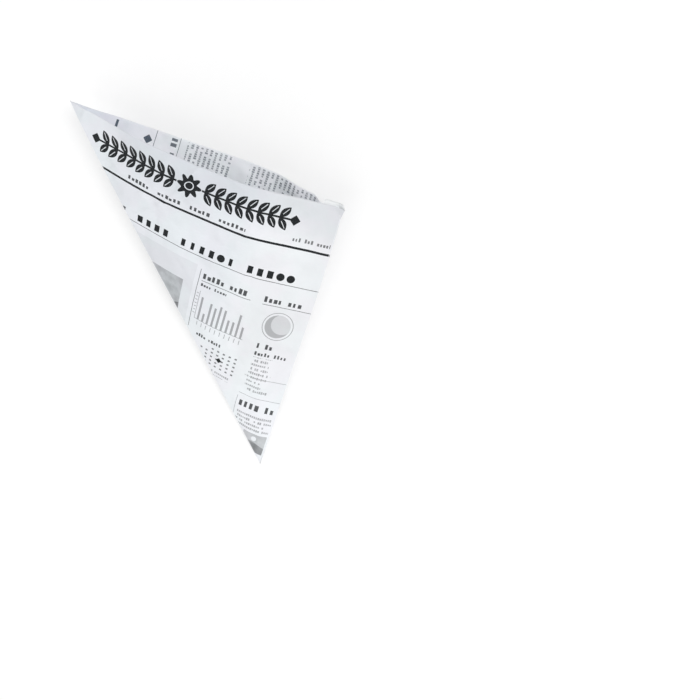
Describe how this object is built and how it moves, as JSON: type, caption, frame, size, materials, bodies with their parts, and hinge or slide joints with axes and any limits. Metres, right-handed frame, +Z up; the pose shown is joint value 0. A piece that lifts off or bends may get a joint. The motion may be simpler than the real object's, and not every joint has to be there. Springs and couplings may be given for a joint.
{
  "type": "cone paper cup",
  "caption": "Pointed paper cone folded from one sheet, with a wide open mouth and a glued side seam, for holding fries, nuts or sweets.",
  "frame": {"origin": "middle of the bounding box, on the surface that the cone lies on", "axes": "+Y from the pointed apex towards the open mouth, +Z up from the resting face, +X from the folded edge towards the glued seam"},
  "size_m": [0.2582, 0.3778, 0.0611],
  "materials": {
    "paper": "uncoated matte paper with a newsprint pattern in black and grey ink"
  },
  "bodies": {
    "root": {"paper_cone": "paper"}
  },
  "joints": []
}
